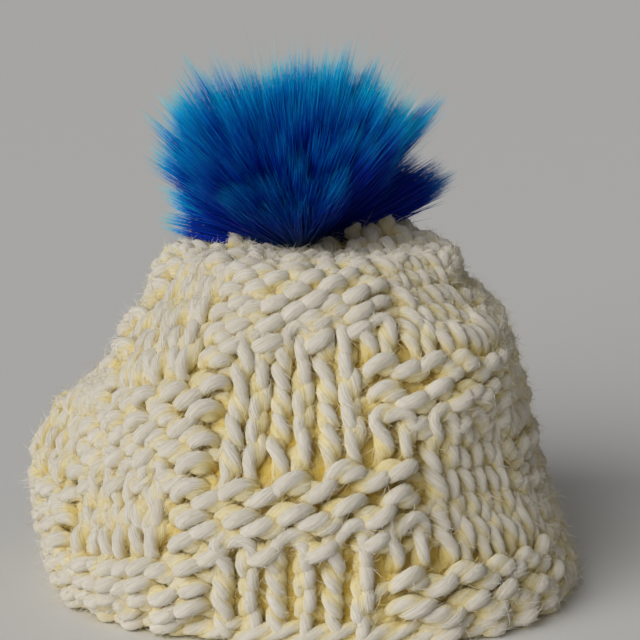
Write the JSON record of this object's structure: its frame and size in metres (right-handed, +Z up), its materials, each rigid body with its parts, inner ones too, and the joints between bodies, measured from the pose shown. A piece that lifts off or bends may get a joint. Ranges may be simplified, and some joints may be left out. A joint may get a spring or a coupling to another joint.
{
  "type": "tea cosy",
  "caption": "Hand-knitted basketweave tea cosy, hollow and open at the hem, with an opening for the spout, a slit for the handle and a fur pompom on its gathered crown.",
  "frame": {"origin": "middle of the whole part's box, at the level of the hem on which it stands", "axes": "+Z up, -Y the front that shows in the picture, +X the side of the handle's slit, -X the side of the spout's opening"},
  "size_m": [0.2092, 0.1792, 0.198],
  "materials": {
    "cream_wool": "matte two-ply wool with a soft halo, ochre in the gaps between the stitches",
    "blue_fur": "long glossy fur, navy at the root and royal blue to bright blue at the tips"
  },
  "bodies": {
    "root": {"knit_body": "cream_wool", "pompom": "blue_fur"}
  },
  "joints": []
}
